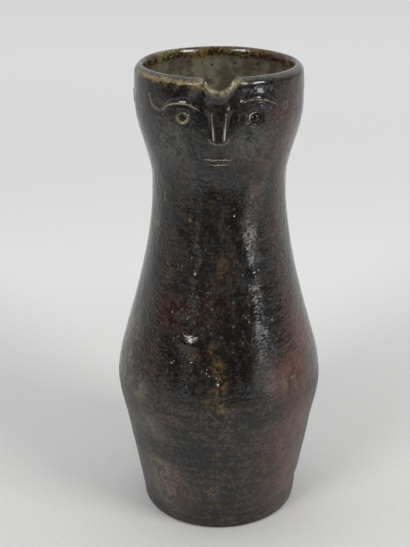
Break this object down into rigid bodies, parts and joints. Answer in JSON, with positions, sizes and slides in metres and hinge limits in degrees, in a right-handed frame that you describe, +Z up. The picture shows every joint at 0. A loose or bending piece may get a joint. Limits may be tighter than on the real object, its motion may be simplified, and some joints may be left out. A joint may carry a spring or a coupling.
{
  "type": "face jug",
  "caption": "Tall thrown stoneware jug with a face in relief on its head, a pulled spout above the nose, a narrow neck, a full belly and a strap handle behind.",
  "frame": {"origin": "centre of the flat foot, on the table and on the axis of the thrown body", "axes": "+Z up along the axis of the thrown body, -Y the way the face and the spout look, +X to the viewer's right, the handle at +Y"},
  "size_m": [0.1206, 0.1479, 0.27],
  "materials": {
    "dark_glaze": "satin",
    "thin_glaze": "satin",
    "edge_glaze": "gloss",
    "pupil_glaze": "gloss"
  },
  "bodies": {
    "root": {"lower_body": "thin_glaze", "upper_body": "dark_glaze", "handle": "dark_glaze", "nose": "dark_glaze", "left_brow": "edge_glaze", "right_brow": "edge_glaze", "left_eye_ring": "edge_glaze", "right_eye_ring": "edge_glaze", "left_pupil": "pupil_glaze", "right_pupil": "pupil_glaze", "upper_lip": "edge_glaze", "lower_lip": "edge_glaze", "left_ear": "dark_glaze", "right_ear": "dark_glaze"}
  },
  "joints": []
}
